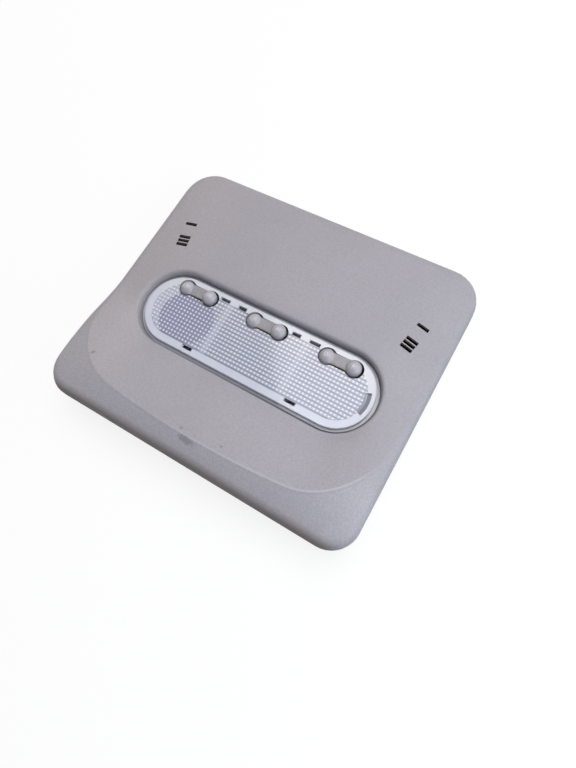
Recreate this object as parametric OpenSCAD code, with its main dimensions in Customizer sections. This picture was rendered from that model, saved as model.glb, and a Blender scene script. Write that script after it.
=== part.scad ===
// Overhead interior light of a car: a moulded housing around a long prismatic
// lens with three rocker switches, and the lamp unit that hangs behind it.
// It lies on its back: Z = 0 is the rim that meets the roof lining, +Z points
// out of the lens, +X runs along the lens and +Y to the side of the rockers.

/* [Housing] */
// Width of the housing along the lens
body_w = 212.5; // [200:0.5:230]
// Depth of the housing from the nose to the thin edge
body_d = 183.5; // [175:0.5:200]
// Corner radius at the thin edge
rear_r = 21; // [16:0.5:26]
// Corner radius at the nose
front_r = 17; // [14:0.5:26]
// Wall thickness of the housing
shell_t = 2.4; // [2:0.1:3]
// Height of the thin edge above the rim
rear_edge_h = 16.75; // [13:0.25:18]
// Rise of the edge for each millimetre towards the nose
edge_slope = 0.04; // [0.02:0.01:0.08]
// Extra rise of the edge where the nose begins
nose_rise = 8.4; // [4:0.1:10]
// Height of the nose ridge above the edge beside it
ridge_h = 5.3; // [4:0.1:8]
// Height of the faint shoulder above the thin edge
shoulder_h = 1.2; // [0.6:0.1:2]
// Distance from the nose end back to the ridge line
ridge_front = 15.75; // [12:0.25:20]
// Distance from the sides in to the ridge line
ridge_side = 5; // [4:0.25:7]
// Corner radius of the ridge line at the nose
ridge_r = 46; // [36:1:50]
// Backward bow of the ridge line towards its corners
ridge_bow = 2.8; // [0:0.1:4]
// Size of the rounding between the top and the side wall
edge_roll = 7.5; // [4:0.1:9]

/* [Lens] */
// Half length of the straight part of the lens
lens_half = 57.5; // [54:0.5:62]
// Radius of the lens ends, which is half its width
lens_r = 23.25; // [22.5:0.25:26]
// Place of the lens centre along Y, from the middle of the housing
lamp_y = -10; // [-14:0.25:-6]
// Height of the lens face above the rim
face_z = 20; // [19:0.5:24]
// Thickness of the clear plate of the lens
lens_t = 2.3; // [2:0.1:2.6]
// Depth of the lens face below the lip of the housing
lip_h = 3.5; // [2:0.1:4]
// Rounding of the lip around the lens
lip_r = 2.6; // [2:0.1:3]
// Width of the low step around the lens
step_w = 1.75; // [1.2:0.05:2]
// Pitch of the prism pattern inside the lens
prism_pitch = 2.5; // [2.5:0.25:5]
// Depth of the prisms
prism_h = 1.2; // [0.6:0.1:1.2]
// Radius of the smooth border's inner edge, from the lens axis
prism_r = 17.5; // [15:0.5:18]

/* [Rockers] */
// Place of the outer rockers as a share of the lens's half length
rocker_share = 0.9; // [0.86:0.01:0.94]
// Distance of the rocker row behind the lens axis
rocker_y = 15.75; // [15.25:0.25:16.25]
// Distance between the two domes of a rocker
dome_gap = 18; // [17:0.25:20]
// Radius of a dome
dome_r = 4.9; // [4.6:0.1:5.3]
// Height of the top of a dome above the lens face
dome_top = 3.6; // [2.8:0.1:4]
// Height of the round cap of a dome
cap_h = 3.4; // [2.6:0.1:3.8]
// Height of the bar above the lens face
bar_top = 1.2; // [0.6:0.1:2]
// Width of the bar between the domes
bar_w = 7; // [6:0.25:8]
// Tilt of a rocker to each side
rocker_tilt = 6; // [4:0.5:7]
// Depth of the rocker axis below the lens face
axis_drop = 6; // [5.5:0.25:6.5]
// Diameter of the rocker's pivot pins
pivot_d = 3; // [2.4:0.1:3.2]
// Length of the leg from the axis to the centre of its round end
leg_len = 6; // [5.5:0.25:6.25]

/* [Lamp unit] */
// Wall thickness of the lamp carrier
wall_t = 2; // [1.6:0.1:2.2]
// Height of the underside of the carrier above the rim
floor_z = 1.5; // [0.5:0.25:2]
// Thickness of the carrier floor
floor_t = 1.8; // [1.4:0.1:2]
// Place of the dividing walls as a share of the lens's half length
divider_share = 0.487; // [0.47:0.005:0.5]
// Distance of each reading lamp inwards from the centre of the lens's round end
reading_inset = 7.5; // [6.5:0.25:8.5]
// Radius of the reading lamp reflectors
bowl_r = 18.7; // [17:0.1:19]
// Diameter of the glass of each bulb
bulb_d = 10; // [8:0.25:10.25]
// Diameter of the two holes for the roof screws
mount_d = 4.5; // [3.5:0.1:5]
// Thickness of the circuit board
board_t = 1.2; // [1:0.1:1.6]
// Diameter of the self tapping screws
screw_d = 2.8; // [2.2:0.1:3.2]

/* [Clearances] */
// Radial clearance of a pin that turns in its bore
run_gap = 0.08; // [0.03:0.01:0.1]
// Clearance beside pieces that slide or drop in
slide_gap = 0.15; // [0.1:0.01:0.3]
// Clearance between neighbouring mouldings
part_gap = 0.3; // [0.2:0.05:0.4]
// Clearance of the rocker caps in the lens
cap_gap = 0.7; // [0.6:0.05:0.9]

/* [Hidden] */
$fn = 64;
eps = 0.02;

// Colours
grey = [0.67, 0.65, 0.66];
warm_grey = [0.62, 0.60, 0.58];
clear = [0.84, 0.86, 0.92];
white = [0.90, 0.90, 0.88];
mirror_grey = [0.78, 0.79, 0.80];
glass = [0.88, 0.92, 0.95];
brass = [0.80, 0.66, 0.36];
steel = [0.62, 0.63, 0.65];
board_green = [0.18, 0.38, 0.24];
black = [0.10, 0.10, 0.11];

// Plan of the housing, measured from the lens centre
half_w = body_w / 2;
rear_y = body_d / 2 - lamp_y;
front_y = body_d / 2 + lamp_y;

// Levels above the rim
lip_z = face_z + lip_h;
seat_z = face_z - 2.8;
plate_z = face_z - lens_t;
step_z = seat_z + 1;
collar_z = 12;
axis_z = face_z - axis_drop;
floor_top = floor_z + floor_t;
bulb_z = floor_top + 6.75;
board_top = floor_top + board_t;

// Radii around the lens axis
step_r = lens_r + step_w;
open_r = step_r + part_gap;
lip_out_r = open_r + lip_r;
tub_out_r = lens_r + 0.75;
tub_r = tub_out_r - wall_t;
border_r = prism_r + 0.6;
rocker_pitch = rocker_share * lens_half;
divider_x = divider_share * lens_half;
reading_x = lens_half - reading_inset;

// Rule-made numbers used by the rings of the housing
function mix(a, b, t) = a + (b - a) * t;
function clamp01(v) = max(0, min(1, v));
function smooth(a, b, v) = let (t = clamp01((v - a) / (b - a))) t * t * (3 - 2 * t);
function bezier(a, b, c, t) = a * (1 - t) * (1 - t) + b * 2 * t * (1 - t) + c * t * t;

// Where the nose rises along Y, and where the straight slope ends
nose_start = 2.5;
nose_end = -58.5;
slope_end = -40;
function nose(y) = smooth(nose_start, nose_end, y);
function edge_z(y) = rear_edge_h + edge_slope * (rear_y - max(y, slope_end)) + nose_rise * nose(y);
function ridge_z(y) = edge_z(y) + mix(shoulder_h, ridge_h, nose(y));

// Distance from a point on the lens axis to a rounded rectangle around it
function reach(mx, c, s, w, yr, yf, rr, rf) =
    let (px = abs(mx), ac = abs(c), as = abs(s),
         h = s >= 0 ? yr : yf,
         r = s >= 0 ? rr : rf,
         th = as > 1e-6 ? h / as : 1e9,
         tw = ac > 1e-6 ? (w - px) / ac : 1e9,
         a = px - (w - r),
         b = -(h - r),
         k = a * ac + b * as)
    px + ac * th <= w - r ? th :
    as * tw <= h - r ? tw :
    -k + sqrt(max(0, k * k - (a * a + b * b - r * r)));

// Points of the outer outline, anticlockwise, with more of them in the corners
side_steps = 22;
corner_steps = 9;
flank_steps = 3;
long_steps = 12;
function run(a, b, n) = [for (k = [0 : n - 1]) mix(a, b, k / n)];
function quarter(x, y, r, a) =
    [for (k = [0 : corner_steps - 1])
        let (t = a + 90 * k / corner_steps) [x + r * cos(t), y + r * sin(t)]];
outline = concat(
    run([half_w, front_r - front_y], [half_w, rear_y - rear_r], side_steps),
    quarter(half_w - rear_r, rear_y - rear_r, rear_r, 0),
    run([half_w - rear_r, rear_y], [lens_half, rear_y], flank_steps),
    run([lens_half, rear_y], [-lens_half, rear_y], long_steps),
    run([-lens_half, rear_y], [rear_r - half_w, rear_y], flank_steps),
    quarter(rear_r - half_w, rear_y - rear_r, rear_r, 90),
    run([-half_w, rear_y - rear_r], [-half_w, front_r - front_y], side_steps),
    quarter(front_r - half_w, front_r - front_y, front_r, 180),
    run([front_r - half_w, -front_y], [-lens_half, -front_y], flank_steps),
    run([-lens_half, -front_y], [lens_half, -front_y], long_steps),
    run([lens_half, -front_y], [half_w - front_r, -front_y], flank_steps),
    quarter(half_w - front_r, front_r - front_y, front_r, 270)
);

// How much a ring station belongs to the nose: 1 in front of the lens, 0 behind
function front_share(s) = smooth(0.2, 0.9, -s);
function bow_share(mx, s) = s < -0.999 ? pow(mx / lens_half, 2) : front_share(s);

// Height of the top skin at a share t of the way from the lip to the ridge
function skin_z(zr, fs, t) = lip_z + (zr - lip_z) * pow(t, 1 - 0.3 * fs);

// One radial section of the shell as [distance, height], outside then inside
lip_steps = 4;
turn_steps = 4;
function section(p) =
    let (mx = max(-lens_half, min(lens_half, p[0])),
         v = [p[0] - mx, p[1]],
         d = norm(v), c = v[0] / d, s = v[1] / d,
         fs = front_share(s),
         dr = reach(mx, c, s, half_w - ridge_side, rear_y - ridge_side, front_y - ridge_front,
                    rear_r - ridge_side, ridge_r) - ridge_bow * bow_share(mx, s),
         di = reach(mx, c, s, half_w - shell_t, rear_y - shell_t, front_y - shell_t,
                    rear_r - shell_t, front_r - shell_t),
         zr = ridge_z(s * dr), ze = edge_z(p[1]),
         turn = 0.6 + 0.1 * (zr - ze),
         ridge = [dr, zr], edge = [d, ze],
         flank = edge - ridge, fl = norm(flank),
         a = [dr - turn, skin_z(zr, fs, 1 - turn / (dr - lip_out_r))],
         cc = ridge + flank * min(0.45, turn / fl),
         e = edge - flank * min(0.5, edge_roll / fl),
         f = [d, ze - edge_roll],
         drop = shell_t * 1.12)
    concat(
        [[open_r, collar_z]],
        [for (k = [0 : lip_steps])
            [open_r + lip_r * (1 - cos(90 * k / lip_steps)), lip_z - lip_r * (1 - sin(90 * k / lip_steps))]],
        [for (t = [0.07, 0.16, 0.3, 0.46, 0.64, 0.82])
            let (u = t * (dr - turn - lip_out_r) / (dr - lip_out_r))
            [mix(lip_out_r, dr, u), skin_z(zr, fs, u)]],
        [for (k = [0 : turn_steps]) bezier(a, ridge, cc, k / turn_steps)],
        [for (k = [0 : turn_steps]) bezier(e, edge, f, k / turn_steps)],
        [[d, 0]],
        [[di, 0],
         [di, ze - edge_roll * 0.8 - drop],
         [mix(di, dr, 0.25), mix(ze, zr, 0.15) - drop - 0.9],
         [mix(di, dr, 0.6), mix(ze, zr, 0.5) - drop - 0.4],
         [dr - turn * 0.3, zr - drop - 0.28 * (zr - ze)],
         [dr - turn, a[1] - drop]],
        [for (t = [0.6, 0.3, 0.12])
            let (u = t * (dr - turn - lip_out_r) / (dr - lip_out_r))
            [mix(lip_out_r, dr, u), skin_z(zr, fs, u) - drop]],
        [[open_r + shell_t, lip_z - lip_r * 0.4 - drop],
         [open_r + shell_t, collar_z]]
    );

// A section placed in space
function placed(p) =
    let (mx = max(-lens_half, min(lens_half, p[0])),
         v = [p[0] - mx, p[1]], u = v / norm(v))
    [for (q = section(p)) [mx + u[0] * q[0], u[1] * q[0], q[1]]];

module shell() {
    rings = [for (p = outline) placed(p)];
    n = len(rings);
    m = len(rings[0]);
    points = [for (r = rings) for (q = r) q];
    faces = [for (i = [0 : n - 1]) for (j = [0 : m - 1])
        let (a = i * m + j, b = i * m + (j + 1) % m,
             c = ((i + 1) % n) * m + (j + 1) % m, d = ((i + 1) % n) * m + j)
        each [[a, d, c], [a, c, b]]];
    polyhedron(points, faces);
}

// Marking slots at both sides, through the skin
slot_l = 8;
slot_w = 2.2;
slot_turn = -12;
slot_places = [[84.4, 56.6], [82.5, 46.15], [81.9, 43.25], [81.35, 40.4]];
module slots() {
    for (side = [0, 1])
        mirror([side, 0, 0])
            for (p = slot_places)
                translate([p[0], p[1], face_z])
                    rotate([0, 0, slot_turn])
                        cube([slot_l, slot_w, 4 * shell_t], center = true);
}

// Height of the middle of the skin's thickness straight in front of or behind the lens
function mid_skin(x, y) =
    let (s = sign(y),
         dr = reach(x, 0, s, half_w - ridge_side, rear_y - ridge_side, front_y - ridge_front,
                    rear_r - ridge_side, ridge_r) - ridge_bow * bow_share(x, s),
         t = clamp01((abs(y) - lip_out_r) / (dr - lip_out_r)))
    skin_z(ridge_z(s * dr), front_share(s), t) - shell_t / 2;

// Stiffening ribs between the collar and the outer walls
rib_t = 1.6;
rib_z = collar_z + 0.5;
rib_places = [-0.92, -0.36, 0.36, 0.92];
rib_steps = 8;
module rib(x, y0, y1) {
    top = [for (k = [0 : rib_steps]) let (y = mix(y0, y1, k / rib_steps)) [y, mid_skin(x, y)]];
    translate([x + rib_t / 2, 0, 0])
        rotate([0, -90, 0])
            linear_extrude(rib_t)
                polygon(concat([for (q = top) [q[1], q[0]]], [[rib_z, y1], [rib_z, y0]]));
}

// Screw bosses beside the collar
boss_x = 0.78 * lens_half;
boss_r = 3.5;
boss_y = open_r + shell_t + boss_r - 0.7;
boss_top = lip_z - 1;
pilot_top = boss_top - 2;
screw_places = [[-boss_x, -boss_y], [boss_x, -boss_y], [-boss_x, boss_y], [boss_x, boss_y]];

module housing() {
    color(grey)
        translate([0, lamp_y, 0])
            difference() {
                union() {
                    shell();
                    for (k = rib_places) {
                        rib(k * lens_half, open_r + shell_t / 2, rear_y - ridge_side - 6);
                        rib(k * lens_half, -open_r - shell_t / 2, ridge_front + 6 - front_y);
                    }
                    for (p = screw_places)
                        translate([p[0], p[1], collar_z])
                            cylinder(r = boss_r, h = boss_top - collar_z);
                }
                slots();
                for (p = screw_places)
                    translate([p[0], p[1], collar_z - 1])
                        cylinder(d = screw_d + 0.1, h = pilot_top - collar_z + 1);
            }
}

// A long slot outline around the lens axis
module stadium(r) {
    translate([-lens_half, -r])
        square([2 * lens_half, 2 * r]);
    for (x = [-lens_half, lens_half])
        translate([x, 0])
            circle(r);
}

module stadium_block(r, z0, z1) {
    translate([0, 0, z0])
        linear_extrude(z1 - z0)
            stadium(r);
}

// The same with its top edge broken by a chamfer
module stadium_chamfered(r, z0, z1, c) {
    stadium_block(r, z0, z1 - c);
    for (x = [-lens_half, lens_half])
        translate([x, 0, z1 - c])
            cylinder(r1 = r, r2 = r - c, h = c);
    translate([-lens_half, 0, 0])
        rotate([90, 0, 90])
            linear_extrude(2 * lens_half)
                polygon([[-r, z1 - c], [r, z1 - c], [r - c, z1], [c - r, z1]]);
}

// Places of the three switches along X
switch_x = [-rocker_pitch, 0, rocker_pitch];

// Room for one rocker through the lens
module rocker_room(x) {
    clear_r = dome_r + cap_gap;
    translate([x, rocker_y, seat_z - 1])
        linear_extrude(face_z - seat_z + 2) {
            for (side = [-1, 1]) {
                translate([side * (dome_gap / 2 + 0.3), 0])
                    circle(clear_r);
                translate([side * (dome_gap / 2 - 0.25), 0])
                    circle(clear_r);
            }
            square([dome_gap, bar_w + 1.2], center = true);
        }
}

// Latch windows of the lens as [share of the half length, width, inner y, side]
latch_rear = lens_r - 2.75;
latches = [
    [-0.578, 7.5, latch_rear - 2.2, 1], [-0.35, 6.25, latch_rear - 2.4, 1],
    [0.337, 6.25, latch_rear - 2.4, 1], [0.561, 7.5, latch_rear - 2.2, 1],
    [-0.668, 7.7, latch_rear - 2.2, -1], [0.637, 7.7, latch_rear - 2.2, -1]
];
hook_w = 5.5;
hook_t = 1;
barb_z = collar_z + 1;
barb_h = 1.6;
barb_out = 0.7;

module hook(q) {
    mirror([0, q[3] < 0 ? 1 : 0, 0])
        translate([q[0] * lens_half + hook_w / 2, 0, 0])
            rotate([0, -90, 0])
                linear_extrude(hook_w)
                    polygon([
                        [seat_z + 0.5, tub_r - part_gap - hook_t], [seat_z + 0.5, tub_r - part_gap],
                        [barb_z + barb_h, tub_r - part_gap], [barb_z + barb_h, tub_r + barb_out],
                        [barb_z, tub_r - part_gap], [barb_z, tub_r - part_gap - hook_t]]);
}

// Prism field under the lens plate, as whole cells of one pitch
cells_x = floor((lens_half + prism_r) / prism_pitch);
cells_y = floor(prism_r / prism_pitch);
function in_lens(x, y, r) = norm([max(0, abs(x) - lens_half), y]) < r;
function near_rocker(x, y, g) =
    let (d = min([for (s = switch_x) abs(x - s)]))
    norm([max(0, d - dome_gap / 2), y - rocker_y]) < dome_r + cap_gap + g;
function cell_on(i, j) =
    i >= -cells_x && i < cells_x && j >= -cells_y && j < cells_y &&
    (let (x = (i + 0.5) * prism_pitch, y = (j + 0.5) * prism_pitch)
        in_lens(x, y, prism_r + 0.6 * prism_pitch) && !near_rocker(x, y, 0.6 * prism_pitch));

module prisms() {
    nx = 2 * cells_x + 1;
    ny = 2 * cells_y + 1;
    root_z = plate_z - 0.05;
    grid = [for (i = [0 : nx - 1]) for (j = [0 : ny - 1])
        [(i - cells_x) * prism_pitch, (j - cells_y) * prism_pitch]];
    tops = [for (g = grid) [g[0], g[1], plate_z + 0.15]];
    roots = [for (g = grid) [g[0], g[1], root_z]];
    tips = [for (g = grid) [g[0] + prism_pitch / 2, g[1] + prism_pitch / 2, root_z - prism_h]];
    n = len(grid);
    faces = [for (i = [0 : nx - 2]) for (j = [0 : ny - 2])
        let (ci = i - cells_x, cj = j - cells_y)
        if (cell_on(ci, cj))
            let (a = i * ny + j, b = (i + 1) * ny + j, c = (i + 1) * ny + j + 1, d = i * ny + j + 1,
                 t = 2 * n + a)
            each concat(
                [[a, d, c], [a, c, b]],
                [[n + a, n + b, t], [n + b, n + c, t], [n + c, n + d, t], [n + d, n + a, t]],
                cell_on(ci, cj - 1) ? [] : [[a, b, n + b], [a, n + b, n + a]],
                cell_on(ci + 1, cj) ? [] : [[b, c, n + c], [b, n + c, n + b]],
                cell_on(ci, cj + 1) ? [] : [[c, d, n + d], [c, n + d, n + c]],
                cell_on(ci - 1, cj) ? [] : [[d, a, n + a], [d, n + a, n + d]])];
    polyhedron(concat(tops, roots, tips), faces);
}

// Pry pocket at the right end of the lens face, with a ramp down to its outer edge
pry_r = latch_rear;
pry_w = 4;
pry_ramp = 2;
pry_turn = 21;
pry_depth = 1.3;
pry_mouth = 0.4;
module pry_pocket() {
    translate([lens_half, 0, face_z - pry_depth])
        rotate([0, 0, -pry_turn])
            rotate_extrude(angle = 2 * pry_turn)
                polygon([[pry_r - pry_w, pry_depth - pry_mouth], [pry_r - pry_w + pry_ramp, 0],
                         [pry_r, 0], [pry_r, pry_depth + 1], [pry_r - pry_w, pry_depth + 1]]);
}

module lens() {
    color(clear)
        translate([0, lamp_y, 0]) {
            difference() {
                union() {
                    stadium_chamfered(lens_r, seat_z, face_z, 0.5);
                    stadium_block(step_r, seat_z, step_z);
                }
                stadium_block(border_r, seat_z - 1, plate_z);
                for (x = switch_x)
                    rocker_room(x);
                for (q = latches)
                    translate([q[0] * lens_half - q[1] / 2, q[3] > 0 ? q[2] : -latch_rear, seat_z - 1])
                        cube([q[1], latch_rear - q[2], 5]);
                pry_pocket();
            }
            for (q = latches)
                hook(q);
            prisms();
        }
}

// Switch shelf behind the dividing wall of the carrier
shelf_wall = 1.2;
shelf_y = rocker_y - dome_r - 0.55 - shelf_wall;
wall_top = seat_z - 1.7;
ear_w = 6.8;
guide_t = 1;
guide_l = 20;
guide_top = axis_z - 5;
slider_w = 7;
board_w = slider_w + 0.2;
guide_gap = slider_w / 2 + slide_gap;

// Roof screw wells
mount_x = divider_x + 1.5;
mount_y = -14;
mount_boss_d = 9;
mount_h = 4.7;

// Lamp sockets stand at the ends of the tub
reading_y = -2.5;
socket_d = 12;
socket_l = 9;
socket_x = reading_x + 17;
strip_w = 2.8;
strip_t = 0.6;

module carrier_tub() {
    difference() {
        union() {
            stadium_block(tub_out_r, floor_z, seat_z);
            stadium_block(open_r + shell_t + 2.8, collar_z - 2, collar_z);
            for (p = screw_places)
                translate([p[0], p[1], collar_z - 2])
                    cylinder(r = boss_r + 1.2, h = 2);
        }
        stadium_block(tub_r, floor_top, seat_z + 1);
    }
}

module carrier_walls() {
    intersection() {
        stadium_block(tub_r + 0.5, floor_z + 0.5, seat_z);
        union() {
            translate([-lens_half - tub_out_r, shelf_y, 0])
                cube([2 * (lens_half + tub_out_r), shelf_wall, wall_top]);
            for (side = [-1, 1])
                translate([side * divider_x - 1, -tub_out_r, 0])
                    cube([2, tub_out_r + shelf_y + 0.5, wall_top]);
            for (x = switch_x) {
                translate([x - ear_w / 2, shelf_y, 0])
                    cube([ear_w, shelf_wall, axis_z + pivot_d / 2 + 1.1]);
                for (side = [-1, 1])
                    translate([x - guide_l / 2, rocker_y + side * (guide_gap + guide_t / 2) - guide_t / 2, 0])
                        cube([guide_l, guide_t, guide_top]);
            }
            for (side = [-1, 1]) {
                translate([side * mount_x, mount_y, 0])
                    cylinder(d = mount_boss_d, h = floor_top + mount_h);
                translate([side * socket_x + side * socket_l / 2 - 3, reading_y - 6.5, 0])
                    cube([6, 13, floor_top + 4]);
            }
        }
    }
}

module lamp_carrier() {
    color(white)
        translate([0, lamp_y, 0]) {
            difference() {
                union() {
                    carrier_tub();
                    carrier_walls();
                }
                for (x = switch_x)
                    translate([x, shelf_y - 1, axis_z])
                        rotate([-90, 0, 0])
                            cylinder(d = pivot_d + 2 * run_gap, h = tub_out_r - shelf_y + 2);
                for (q = latches)
                    mirror([0, q[3] < 0 ? 1 : 0, 0])
                        translate([q[0] * lens_half - hook_w / 2 - part_gap, tub_r - 1, barb_z - 1])
                            cube([hook_w + 2 * part_gap, wall_t + 2, barb_h + 1 + part_gap]);
                for (side = [-1, 1]) {
                    translate([side * mount_x, mount_y, floor_z - 1])
                        cylinder(d = mount_d, h = floor_t + mount_h + 2);
                    translate([side * socket_x, reading_y, bulb_z])
                        rotate([0, 90, 0])
                            cylinder(d = socket_d + 2 * slide_gap, h = 40, center = true);
                    translate([side * (reading_x + 17.8) - strip_w / 2 - slide_gap, reading_y - 7, floor_top])
                        cube([strip_w + 2 * slide_gap, shelf_y + 12, strip_t + slide_gap]);
                    translate([side * clip_leg_x - strip_w / 2 - slide_gap, shelf_y - 1, floor_top])
                        cube([strip_w + 2 * slide_gap, shelf_wall + 2, strip_t + slide_gap]);
                }
                for (p = screw_places)
                    translate([p[0], p[1], collar_z - 3])
                        cylinder(d = screw_d + 0.6, h = 4);
                translate([-tongue_w / 2 - part_gap, rocker_y + 1, floor_top])
                    cube([tongue_w + 2 * part_gap, tub_out_r - rocker_y, board_t + part_gap]);
                translate([-connector_w / 2 - part_gap, tub_out_r + 2, collar_z - 3])
                    cube([connector_w + 2 * part_gap, 12, 4]);
            }
            for (side = [-1, 1])
                translate([side * peg_x, rocker_y, floor_z + 0.5])
                    cylinder(d = peg_d, h = board_top + 0.7 - floor_z - 0.5);
        }
}

// One rocker, drawn level with its axis at the origin
leg_d = 2.4;
module rocker_body() {
    base = seat_z + 0.8 - axis_z;
    shoulder = face_z + dome_top - cap_h - axis_z;
    bar_z = face_z + bar_top - axis_z;
    cap_r = (dome_r * dome_r + cap_h * cap_h) / (2 * cap_h);
    hub_top = seat_z - 0.8 - axis_z;
    hub_l = tub_r + shelf_y + shelf_wall - 2 * rocker_y;
    difference() {
        union() {
            for (side = [-1, 1])
                translate([side * dome_gap / 2, 0, 0]) {
                    translate([0, 0, base])
                        cylinder(r = dome_r, h = shoulder - base);
                    translate([0, 0, shoulder])
                        intersection() {
                            translate([0, 0, cap_h - cap_r])
                                sphere(r = cap_r);
                            translate([0, 0, -eps])
                                cylinder(r = dome_r, h = cap_h + 1);
                        }
                }
            translate([-dome_gap / 2, -bar_w / 2, base])
                cube([dome_gap, bar_w, bar_z - base]);
        }
        // the domes are hollow below
        for (side = [-1, 1])
            translate([side * dome_gap / 2, 0, base - 1])
                cylinder(r = dome_r - 1.3, h = shoulder - base);
    }
    translate([-2.6, -bar_w / 2 + 0.1, hub_top - 0.5])
        cube([5.2, bar_w - 0.2, base - hub_top + 1]);
    translate([-2.6, shelf_y + shelf_wall + part_gap - rocker_y, -1.8])
        cube([5.2, tub_r - shelf_y - shelf_wall - 2 * part_gap, hub_top + 1.8]);
    translate([0, shelf_y + 0.1 - rocker_y, 0])
        rotate([-90, 0, 0])
            cylinder(d = pivot_d, h = tub_r + 1.2 - shelf_y - 0.1);
    translate([-0.9, -1.75, -leg_len])
        cube([1.8, 3.5, leg_len]);
    translate([0, -1.75, -leg_len])
        rotate([-90, 0, 0])
            cylinder(d = leg_d, h = 3.5);
}

module rocker(x) {
    color(warm_grey)
        translate([x, lamp_y + rocker_y, axis_z])
            rotate([0, -rocker_tilt, 0])
                rocker_body();
}

// The leg pushes the slider, so at rest it stands off centre
slider_rest = leg_len * sin(rocker_tilt);
slider_bottom = board_top + 1.5;
slider_top = axis_z - leg_len + 1.4;
leg_tip_z = axis_z - leg_len - leg_d / 2;

module slider(x) {
    color(black)
        translate([x + slider_rest, lamp_y + rocker_y, 0])
            difference() {
                translate([-6, -slider_w / 2, slider_bottom])
                    cube([12, slider_w, slider_top - slider_bottom]);
                translate([-leg_d / 2 - slide_gap, -2.25, leg_tip_z - 0.25])
                    cube([leg_d + 2 * slide_gap, 4.5, 10]);
            }
}

wiper_r = 0.5;
module wiper(x) {
    color(brass)
        translate([x + slider_rest, lamp_y + rocker_y, 0]) {
            translate([-5, -2.7, slider_bottom - 0.5])
                cube([10, 5.4, 0.5]);
            for (side = [-1, 1])
                translate([side * 3.5, -2.7, board_top + slide_gap + wiper_r])
                    rotate([-90, 0, 0])
                        cylinder(r = wiper_r, h = 5.4);
            for (side = [-1, 1])
                translate([side * 3.5 - 0.25, -2.7, board_top + slide_gap + wiper_r])
                    cube([0.5, 5.4, slider_bottom - board_top - slide_gap - wiper_r]);
        }
}

// Reading lamp bowl: a thin paraboloid with a flat side against the shelf
bowl_t = 1.2;
bowl_top = wall_top - 0.3;
bowl_h = bowl_top - floor_top - slide_gap;
bowl_steps = 14;
function bowl_z(r) = floor_top + slide_gap + (bowl_h - bowl_t) * pow(r / bowl_r, 2);

module reading_reflector(side) {
    color(mirror_grey)
        translate([side * reading_x, lamp_y, 0])
            difference() {
                translate([0, reading_y, 0])
                    rotate_extrude($fn = 96)
                        polygon(concat(
                            [for (k = [0 : bowl_steps]) let (r = bowl_r * k / bowl_steps) [r, bowl_z(r)]],
                            [for (k = [bowl_steps : -1 : 0])
                                let (r = bowl_r * k / bowl_steps) [r, bowl_z(r) + bowl_t]]));
                translate([-bowl_r - 1, shelf_y - part_gap, 0])
                    cube([2 * bowl_r + 2, 20, 30]);
                translate([0, reading_y, bulb_z])
                    rotate([0, 90 * side, 0]) {
                        cylinder(d = bulb_d + 1.5, h = 40);
                        translate([0, 0, socket_x - reading_x - part_gap])
                            cylinder(d = socket_d + 2 * part_gap, h = 40);
                    }
            }
}

// Middle reflector: a bent trough with notches for the bulb clips
trough_w = 2 * divider_x - 6;
trough_y = (shelf_y - tub_r) / 2;
trough_r = (shelf_y + tub_r) / 2 - 0.6;
trough_t = 1;
trough_steps = 12;
festoon_l = 36;
clip_x = festoon_l / 2 + 0.3;
clip_leg_x = clip_x + 4.7;
function trough_z(y) = floor_top + slide_gap + 9.5 * pow(y / trough_r, 2);

module reflector_centre() {
    ys = [for (k = [-trough_steps : trough_steps]) trough_r * k / trough_steps];
    color(mirror_grey)
        translate([0, lamp_y + trough_y, 0])
            difference() {
                translate([-trough_w / 2, 0, 0])
                    rotate([90, 0, 90])
                        linear_extrude(trough_w)
                            polygon(concat(
                                [for (y = ys) [y, trough_z(y)]],
                                [for (k = [len(ys) - 1 : -1 : 0]) [ys[k], trough_z(ys[k]) + trough_t]]));
                for (side = [0, 1])
                    mirror([side, 0, 0]) {
                        translate([clip_x - 1.3 - part_gap, -clip_w / 2 - 1.5, 0])
                            cube([trough_w, clip_w + 3, 30]);
                        translate([clip_leg_x - strip_w / 2 - part_gap, 0, 0])
                            cube([strip_w + 2 * part_gap, 30, floor_top + strip_t + part_gap]);
                    }
            }
}

// Wedge bulb lying along X, with its flat base in the socket
module wedge_bulb(side) {
    r = bulb_d / 2;
    color(glass)
        translate([side * reading_x, lamp_y + reading_y, bulb_z])
            rotate([0, 90 * side, 0]) {
                translate([0, 0, -3.5 + r])
                    sphere(r = r);
                translate([0, 0, -3.5 + r])
                    cylinder(r = r, h = 11.5);
                translate([0, 0, 8 + r - eps])
                    cylinder(r1 = r, r2 = 3, h = 2);
                translate([-2.4, -4.4, 8])
                    cube([4.8, 8.8, 12]);
            }
}

// Round socket that grips the flat base
module socket(side) {
    color(white)
        translate([side * socket_x, lamp_y + reading_y, bulb_z])
            rotate([0, 90 * side, 0])
                difference() {
                    cylinder(d = socket_d, h = socket_l);
                    translate([-2.4 - slide_gap, -4.4 - slide_gap, -1])
                        cube([4.8 + 2 * slide_gap, 8.8 + 2 * slide_gap, 5]);
                    translate([bulb_z - floor_top - strip_t - slide_gap, -socket_d, -1])
                        cube([socket_d, 2 * socket_d, socket_l + 2]);
                }
}

// Festoon bulb with a metal cap at each end
cap_l = 6;
module festoon_bulb() {
    r = bulb_d / 2;
    tip = 1.4;
    half = festoon_l / 2;
    color(glass)
        translate([0, lamp_y + trough_y, bulb_z])
            rotate([0, 90, 0])
                rotate_extrude()
                    polygon([[0, -half], [tip, -half + 0.3], [tip, -half + 1.6], [3.6, -half + 2.6],
                             [3.6, -half + cap_l], [r, -half + cap_l + 1.6], [r, half - cap_l - 1.6],
                             [3.6, half - cap_l], [3.6, half - 2.6], [tip, half - 1.6],
                             [tip, half - 0.3], [0, half]]);
}

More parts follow.
